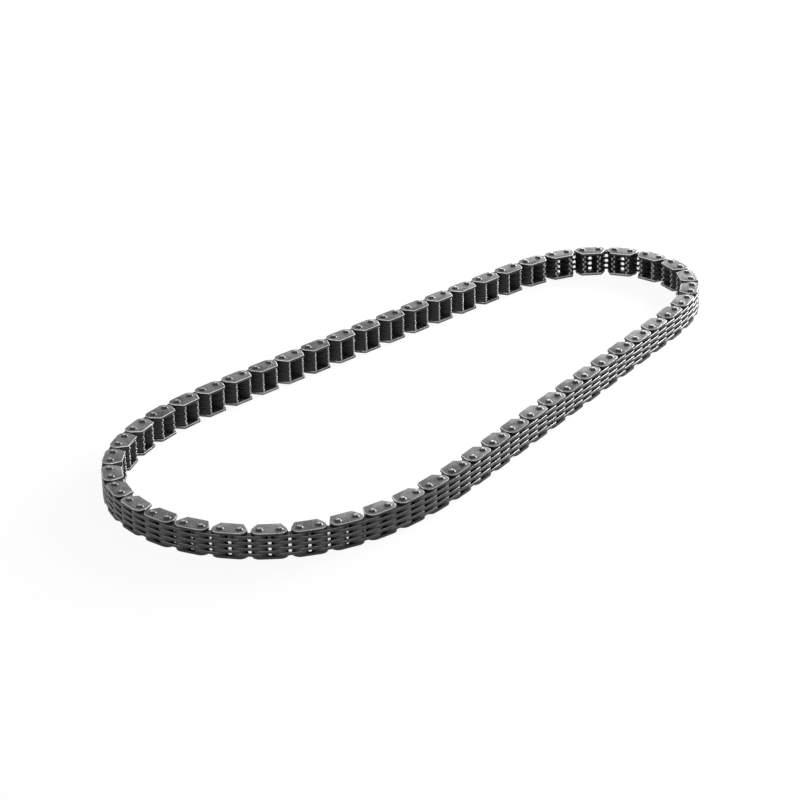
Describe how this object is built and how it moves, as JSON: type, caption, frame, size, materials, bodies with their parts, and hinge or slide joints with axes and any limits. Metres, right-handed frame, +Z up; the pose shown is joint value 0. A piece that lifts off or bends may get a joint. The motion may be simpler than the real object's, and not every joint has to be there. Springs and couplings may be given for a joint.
{
  "type": "silent timing chain",
  "caption": "Endless riveted inverted-tooth cam chain with outer guide plates, lying flat as an egg-shaped loop; it folds at its pins between wide and pinched.",
  "frame": {"origin": "centre of the loop's bounding box, on the surface that its rivet heads rest on", "axes": "+X along the loop's long axis from the wide end to the narrow end; +Z up, along the pins; +Y across the loop to the far run"},
  "size_m": [0.2838, 0.1168, 0.0105],
  "materials": {
    "link_steel": "lightly oiled hardened steel, satin",
    "guide_steel": "tumbled hardened steel, satin",
    "toothed_steel": "lightly oiled hardened steel, satin",
    "pin_steel": "ground hardened steel, riveted ends"
  },
  "bodies": {
    "wide_end": {"wide_end_guide_plates": "guide_steel", "wide_end_toothed_plates": "toothed_steel", "wide_end_pins": "pin_steel"},
    "near_link_01": {"near_link_01": "link_steel"},
    "near_link_02": {"near_link_02": "link_steel"},
    "near_link_03": {"near_link_03": "link_steel"},
    "near_link_04": {"near_link_04": "link_steel"},
    "near_link_05": {"near_link_05": "link_steel"},
    "near_link_06": {"near_link_06": "link_steel"},
    "near_link_07": {"near_link_07": "link_steel"},
    "near_link_08": {"near_link_08": "link_steel"},
    "near_link_09": {"near_link_09": "link_steel"},
    "near_link_10": {"near_link_10": "link_steel"},
    "near_link_11": {"near_link_11": "link_steel"},
    "near_link_12": {"near_link_12": "link_steel"},
    "near_link_13": {"near_link_13": "link_steel"},
    "near_link_14": {"near_link_14": "link_steel"},
    "near_link_15": {"near_link_15": "link_steel"},
    "near_link_16": {"near_link_16": "link_steel"},
    "near_link_17": {"near_link_17": "link_steel"},
    "near_link_18": {"near_link_18": "link_steel"},
    "near_link_19": {"near_link_19": "link_steel"},
    "near_link_20": {"near_link_20": "link_steel"},
    "near_link_21": {"near_link_21": "link_steel"},
    "near_link_22": {"near_link_22": "link_steel"},
    "near_link_23": {"near_link_23": "link_steel"},
    "near_link_24": {"near_link_24": "link_steel"},
    "near_link_25": {"near_link_25": "link_steel"},
    "far_link_01": {"far_link_01": "link_steel"},
    "far_link_02": {"far_link_02": "link_steel"},
    "far_link_03": {"far_link_03": "link_steel"},
    "far_link_04": {"far_link_04": "link_steel"},
    "far_link_05": {"far_link_05": "link_steel"},
    "far_link_06": {"far_link_06": "link_steel"},
    "far_link_07": {"far_link_07": "link_steel"},
    "far_link_08": {"far_link_08": "link_steel"},
    "far_link_09": {"far_link_09": "link_steel"},
    "far_link_10": {"far_link_10": "link_steel"},
    "far_link_11": {"far_link_11": "link_steel"},
    "far_link_12": {"far_link_12": "link_steel"},
    "far_link_13": {"far_link_13": "link_steel"},
    "far_link_14": {"far_link_14": "link_steel"},
    "far_link_15": {"far_link_15": "link_steel"},
    "far_link_16": {"far_link_16": "link_steel"},
    "far_link_17": {"far_link_17": "link_steel"},
    "far_link_18": {"far_link_18": "link_steel"},
    "far_link_19": {"far_link_19": "link_steel"},
    "far_link_20": {"far_link_20": "link_steel"},
    "far_link_21": {"far_link_21": "link_steel"},
    "far_link_22": {"far_link_22": "link_steel"},
    "far_link_23": {"far_link_23": "link_steel"},
    "far_link_24": {"far_link_24": "link_steel"},
    "far_link_25": {"far_link_25": "link_steel"},
    "narrow_end": {"narrow_end_guide_plates": "guide_steel", "narrow_end_toothed_plates": "toothed_steel", "narrow_end_pins": "pin_steel", "narrow_end_joint_packs": "toothed_steel"}
  },
  "joints": [
    {"name": "near_pivot_01", "type": "hinge", "parent": "wide_end", "child": "near_link_01", "pos_m": [-0.13917, -0.00317, 0.00523], "axis": [0, 0, 1], "range_deg": [-5, 5]},
    {"name": "near_pivot_02", "type": "hinge", "parent": "near_link_01", "child": "near_link_02", "pos_m": [-0.13689, -0.01565, 0.00523], "axis": [0, 0, 1], "range_deg": [-2.66, 2.66]},
    {"name": "near_pivot_03", "type": "hinge", "parent": "near_link_02", "child": "near_link_03", "pos_m": [-0.13171, -0.02721, 0.00523], "axis": [0, 0, 1], "range_deg": [-3.4, 3.4]},
    {"name": "near_pivot_04", "type": "hinge", "parent": "near_link_03", "child": "near_link_04", "pos_m": [-0.12391, -0.03721, 0.00523], "axis": [0, 0, 1], "range_deg": [-3.74, 3.74]},
    {"name": "near_pivot_05", "type": "hinge", "parent": "near_link_04", "child": "near_link_05", "pos_m": [-0.114, -0.04512, 0.00523], "axis": [0, 0, 1], "range_deg": [-3.27, 3.27]},
    {"name": "near_pivot_06", "type": "hinge", "parent": "near_link_05", "child": "near_link_06", "pos_m": [-0.10261, -0.0507, 0.00523], "axis": [0, 0, 1], "range_deg": [-2.71, 2.71]},
    {"name": "near_pivot_07", "type": "hinge", "parent": "near_link_06", "child": "near_link_07", "pos_m": [-0.09038, -0.05406, 0.00523], "axis": [0, 0, 1], "range_deg": [-2.36, 2.36]},
    {"name": "near_pivot_08", "type": "hinge", "parent": "near_link_07", "child": "near_link_08", "pos_m": [-0.07777, -0.05553, 0.00523], "axis": [0, 0, 1], "range_deg": [-2.21, 2.21]},
    {"name": "near_pivot_09", "type": "hinge", "parent": "near_link_08", "child": "near_link_09", "pos_m": [-0.06507, -0.05562, 0.00523], "axis": [0, 0, 1], "range_deg": [-1.91, 1.91]},
    {"name": "near_pivot_10", "type": "hinge", "parent": "near_link_09", "child": "near_link_10", "pos_m": [-0.0524, -0.0548, 0.00523], "axis": [0, 0, 1], "range_deg": [-2.59, 2.59]},
    {"name": "near_pivot_11", "type": "hinge", "parent": "near_link_10", "child": "near_link_11", "pos_m": [-0.03977, -0.05353, 0.00523], "axis": [0, 0, 1], "range_deg": [-3.43, 3.43]},
    {"name": "near_pivot_12", "type": "hinge", "parent": "near_link_11", "child": "near_link_12", "pos_m": [-0.02715, -0.05209, 0.00523], "axis": [0, 0, 1], "range_deg": [-4.29, 4.29]},
    {"name": "near_pivot_13", "type": "hinge", "parent": "near_link_12", "child": "near_link_13", "pos_m": [-0.01453, -0.05064, 0.00523], "axis": [0, 0, 1], "range_deg": [-5.03, 5.03]},
    {"name": "near_pivot_14", "type": "hinge", "parent": "near_link_13", "child": "near_link_14", "pos_m": [-0.00191, -0.04918, 0.00523], "axis": [0, 0, 1], "range_deg": [-5.48, 5.48]},
    {"name": "near_pivot_15", "type": "hinge", "parent": "near_link_14", "child": "near_link_15", "pos_m": [0.0107, -0.04773, 0.00523], "axis": [0, 0, 1], "range_deg": [-5.49, 5.49]},
    {"name": "near_pivot_16", "type": "hinge", "parent": "near_link_15", "child": "near_link_16", "pos_m": [0.02332, -0.04627, 0.00523], "axis": [0, 0, 1], "range_deg": [-5.01, 5.01]},
    {"name": "near_pivot_17", "type": "hinge", "parent": "near_link_16", "child": "near_link_17", "pos_m": [0.03594, -0.04482, 0.00523], "axis": [0, 0, 1], "range_deg": [-4.14, 4.14]},
    {"name": "near_pivot_18", "type": "hinge", "parent": "near_link_17", "child": "near_link_18", "pos_m": [0.04855, -0.04336, 0.00523], "axis": [0, 0, 1], "range_deg": [-3.13, 3.13]},
    {"name": "near_pivot_19", "type": "hinge", "parent": "near_link_18", "child": "near_link_19", "pos_m": [0.06117, -0.04191, 0.00523], "axis": [0, 0, 1], "range_deg": [-3.08, 3.08]},
    {"name": "near_pivot_20", "type": "hinge", "parent": "near_link_19", "child": "near_link_20", "pos_m": [0.07378, -0.04045, 0.00523], "axis": [0, 0, 1], "range_deg": [-1.38, 1.38]},
    {"name": "near_pivot_21", "type": "hinge", "parent": "near_link_20", "child": "near_link_21", "pos_m": [0.0864, -0.039, 0.00523], "axis": [0, 0, 1], "range_deg": [-1.39, 1.39]},
    {"name": "near_pivot_22", "type": "hinge", "parent": "near_link_21", "child": "near_link_22", "pos_m": [0.09899, -0.0373, 0.00523], "axis": [0, 0, 1], "range_deg": [-1.83, 1.83]},
    {"name": "near_pivot_23", "type": "hinge", "parent": "near_link_22", "child": "near_link_23", "pos_m": [0.11135, -0.03445, 0.00523], "axis": [0, 0, 1], "range_deg": [-2.8, 2.8]},
    {"name": "near_pivot_24", "type": "hinge", "parent": "near_link_23", "child": "near_link_24", "pos_m": [0.12288, -0.02917, 0.00523], "axis": [0, 0, 1], "range_deg": [-3.81, 3.81]},
    {"name": "near_pivot_25", "type": "hinge", "parent": "near_link_24", "child": "near_link_25", "pos_m": [0.13226, -0.02069, 0.00523], "axis": [0, 0, 1], "range_deg": [-5.14, 5.14]},
    {"name": "far_pivot_01", "type": "hinge", "parent": "wide_end", "child": "far_link_01", "pos_m": [-0.13917, 0.00317, 0.00523], "axis": [0, 0, 1], "range_deg": [-5, 5]},
    {"name": "far_pivot_02", "type": "hinge", "parent": "far_link_01", "child": "far_link_02", "pos_m": [-0.13689, 0.01565, 0.00523], "axis": [0, 0, 1], "range_deg": [-2.66, 2.66]},
    {"name": "far_pivot_03", "type": "hinge", "parent": "far_link_02", "child": "far_link_03", "pos_m": [-0.13171, 0.02721, 0.00523], "axis": [0, 0, 1], "range_deg": [-3.4, 3.4]},
    {"name": "far_pivot_04", "type": "hinge", "parent": "far_link_03", "child": "far_link_04", "pos_m": [-0.12391, 0.03721, 0.00523], "axis": [0, 0, 1], "range_deg": [-3.74, 3.74]},
    {"name": "far_pivot_05", "type": "hinge", "parent": "far_link_04", "child": "far_link_05", "pos_m": [-0.114, 0.04512, 0.00523], "axis": [0, 0, 1], "range_deg": [-3.27, 3.27]},
    {"name": "far_pivot_06", "type": "hinge", "parent": "far_link_05", "child": "far_link_06", "pos_m": [-0.10261, 0.0507, 0.00523], "axis": [0, 0, 1], "range_deg": [-2.71, 2.71]},
    {"name": "far_pivot_07", "type": "hinge", "parent": "far_link_06", "child": "far_link_07", "pos_m": [-0.09038, 0.05406, 0.00523], "axis": [0, 0, 1], "range_deg": [-2.36, 2.36]},
    {"name": "far_pivot_08", "type": "hinge", "parent": "far_link_07", "child": "far_link_08", "pos_m": [-0.07777, 0.05553, 0.00523], "axis": [0, 0, 1], "range_deg": [-2.21, 2.21]},
    {"name": "far_pivot_09", "type": "hinge", "parent": "far_link_08", "child": "far_link_09", "pos_m": [-0.06507, 0.05562, 0.00523], "axis": [0, 0, 1], "range_deg": [-1.91, 1.91]},
    {"name": "far_pivot_10", "type": "hinge", "parent": "far_link_09", "child": "far_link_10", "pos_m": [-0.0524, 0.0548, 0.00523], "axis": [0, 0, 1], "range_deg": [-2.59, 2.59]},
    {"name": "far_pivot_11", "type": "hinge", "parent": "far_link_10", "child": "far_link_11", "pos_m": [-0.03977, 0.05353, 0.00523], "axis": [0, 0, 1], "range_deg": [-3.43, 3.43]},
    {"name": "far_pivot_12", "type": "hinge", "parent": "far_link_11", "child": "far_link_12", "pos_m": [-0.02715, 0.05209, 0.00523], "axis": [0, 0, 1], "range_deg": [-4.29, 4.29]},
    {"name": "far_pivot_13", "type": "hinge", "parent": "far_link_12", "child": "far_link_13", "pos_m": [-0.01453, 0.05064, 0.00523], "axis": [0, 0, 1], "range_deg": [-5.03, 5.03]},
    {"name": "far_pivot_14", "type": "hinge", "parent": "far_link_13", "child": "far_link_14", "pos_m": [-0.00191, 0.04918, 0.00523], "axis": [0, 0, 1], "range_deg": [-5.48, 5.48]},
    {"name": "far_pivot_15", "type": "hinge", "parent": "far_link_14", "child": "far_link_15", "pos_m": [0.0107, 0.04773, 0.00523], "axis": [0, 0, 1], "range_deg": [-5.49, 5.49]},
    {"name": "far_pivot_16", "type": "hinge", "parent": "far_link_15", "child": "far_link_16", "pos_m": [0.02332, 0.04627, 0.00523], "axis": [0, 0, 1], "range_deg": [-5.01, 5.01]},
    {"name": "far_pivot_17", "type": "hinge", "parent": "far_link_16", "child": "far_link_17", "pos_m": [0.03594, 0.04482, 0.00523], "axis": [0, 0, 1], "range_deg": [-4.14, 4.14]},
    {"name": "far_pivot_18", "type": "hinge", "parent": "far_link_17", "child": "far_link_18", "pos_m": [0.04855, 0.04336, 0.00523], "axis": [0, 0, 1], "range_deg": [-3.13, 3.13]},
    {"name": "far_pivot_19", "type": "hinge", "parent": "far_link_18", "child": "far_link_19", "pos_m": [0.06117, 0.04191, 0.00523], "axis": [0, 0, 1], "range_deg": [-3.08, 3.08]},
    {"name": "far_pivot_20", "type": "hinge", "parent": "far_link_19", "child": "far_link_20", "pos_m": [0.07378, 0.04045, 0.00523], "axis": [0, 0, 1], "range_deg": [-1.38, 1.38]},
    {"name": "far_pivot_21", "type": "hinge", "parent": "far_link_20", "child": "far_link_21", "pos_m": [0.0864, 0.039, 0.00523], "axis": [0, 0, 1], "range_deg": [-1.39, 1.39]},
    {"name": "far_pivot_22", "type": "hinge", "parent": "far_link_21", "child": "far_link_22", "pos_m": [0.09899, 0.0373, 0.00523], "axis": [0, 0, 1], "range_deg": [-1.83, 1.83]},
    {"name": "far_pivot_23", "type": "hinge", "parent": "far_link_22", "child": "far_link_23", "pos_m": [0.11135, 0.03445, 0.00523], "axis": [0, 0, 1], "range_deg": [-2.8, 2.8]},
    {"name": "far_pivot_24", "type": "hinge", "parent": "far_link_23", "child": "far_link_24", "pos_m": [0.12288, 0.02917, 0.00523], "axis": [0, 0, 1], "range_deg": [-3.81, 3.81]},
    {"name": "far_pivot_25", "type": "hinge", "parent": "far_link_24", "child": "far_link_25", "pos_m": [0.13226, 0.02069, 0.00523], "axis": [0, 0, 1], "range_deg": [-5.14, 5.14]},
    {"name": "narrow_end_pivot", "type": "hinge", "parent": "near_link_25", "child": "narrow_end", "pos_m": [0.13798, -0.00941, 0.00523], "axis": [0, 0, 1], "range_deg": [-6.29, 6.29]}
  ],
  "couplings": [
    {"joint": "near_pivot_02", "follows": "near_pivot_01", "ratio": 0.53261},
    {"joint": "near_pivot_03", "follows": "near_pivot_01", "ratio": 0.68052},
    {"joint": "near_pivot_04", "follows": "near_pivot_01", "ratio": 0.7475},
    {"joint": "near_pivot_05", "follows": "near_pivot_01", "ratio": 0.65326},
    {"joint": "near_pivot_06", "follows": "near_pivot_01", "ratio": 0.54193},
    {"joint": "near_pivot_07", "follows": "near_pivot_01", "ratio": 0.47194},
    {"joint": "near_pivot_08", "follows": "near_pivot_01", "ratio": -0.44233},
    {"joint": "near_pivot_09", "follows": "near_pivot_01", "ratio": -0.38286},
    {"joint": "near_pivot_10", "follows": "near_pivot_01", "ratio": -0.51772},
    {"joint": "near_pivot_11", "follows": "near_pivot_01", "ratio": -0.6854},
    {"joint": "near_pivot_12", "follows": "near_pivot_01", "ratio": -0.85763},
    {"joint": "near_pivot_13", "follows": "near_pivot_01", "ratio": -1.0063},
    {"joint": "near_pivot_14", "follows": "near_pivot_01", "ratio": -1.0958},
    {"joint": "near_pivot_15", "follows": "near_pivot_01", "ratio": -1.0974},
    {"joint": "near_pivot_16", "follows": "near_pivot_01", "ratio": -1.0027},
    {"joint": "near_pivot_17", "follows": "near_pivot_01", "ratio": -0.82751},
    {"joint": "near_pivot_18", "follows": "near_pivot_01", "ratio": -0.62556},
    {"joint": "near_pivot_19", "follows": "near_pivot_01", "ratio": -0.61549},
    {"joint": "near_pivot_20", "follows": "near_pivot_01", "ratio": 0.27617},
    {"joint": "near_pivot_21", "follows": "near_pivot_01", "ratio": 0.27786},
    {"joint": "near_pivot_22", "follows": "near_pivot_01", "ratio": 0.3659},
    {"joint": "near_pivot_23", "follows": "near_pivot_01", "ratio": 0.56027},
    {"joint": "near_pivot_24", "follows": "near_pivot_01", "ratio": 0.76289},
    {"joint": "near_pivot_25", "follows": "near_pivot_01", "ratio": 1.0271},
    {"joint": "far_pivot_01", "follows": "near_pivot_01", "ratio": -1},
    {"joint": "far_pivot_02", "follows": "near_pivot_01", "ratio": -0.53261},
    {"joint": "far_pivot_03", "follows": "near_pivot_01", "ratio": -0.68052},
    {"joint": "far_pivot_04", "follows": "near_pivot_01", "ratio": -0.7475},
    {"joint": "far_pivot_05", "follows": "near_pivot_01", "ratio": -0.65326},
    {"joint": "far_pivot_06", "follows": "near_pivot_01", "ratio": -0.54193},
    {"joint": "far_pivot_07", "follows": "near_pivot_01", "ratio": -0.47194},
    {"joint": "far_pivot_08", "follows": "near_pivot_01", "ratio": 0.44233},
    {"joint": "far_pivot_09", "follows": "near_pivot_01", "ratio": 0.38286},
    {"joint": "far_pivot_10", "follows": "near_pivot_01", "ratio": 0.51772},
    {"joint": "far_pivot_11", "follows": "near_pivot_01", "ratio": 0.6854},
    {"joint": "far_pivot_12", "follows": "near_pivot_01", "ratio": 0.85763},
    {"joint": "far_pivot_13", "follows": "near_pivot_01", "ratio": 1.0063},
    {"joint": "far_pivot_14", "follows": "near_pivot_01", "ratio": 1.0958},
    {"joint": "far_pivot_15", "follows": "near_pivot_01", "ratio": 1.0974},
    {"joint": "far_pivot_16", "follows": "near_pivot_01", "ratio": 1.0027},
    {"joint": "far_pivot_17", "follows": "near_pivot_01", "ratio": 0.82751},
    {"joint": "far_pivot_18", "follows": "near_pivot_01", "ratio": 0.62556},
    {"joint": "far_pivot_19", "follows": "near_pivot_01", "ratio": 0.61549},
    {"joint": "far_pivot_20", "follows": "near_pivot_01", "ratio": -0.27617},
    {"joint": "far_pivot_21", "follows": "near_pivot_01", "ratio": -0.27786},
    {"joint": "far_pivot_22", "follows": "near_pivot_01", "ratio": -0.3659},
    {"joint": "far_pivot_23", "follows": "near_pivot_01", "ratio": -0.56027},
    {"joint": "far_pivot_24", "follows": "near_pivot_01", "ratio": -0.76289},
    {"joint": "far_pivot_25", "follows": "near_pivot_01", "ratio": -1.0271},
    {"joint": "narrow_end_pivot", "follows": "near_pivot_01", "ratio": 1.2587}
  ]
}
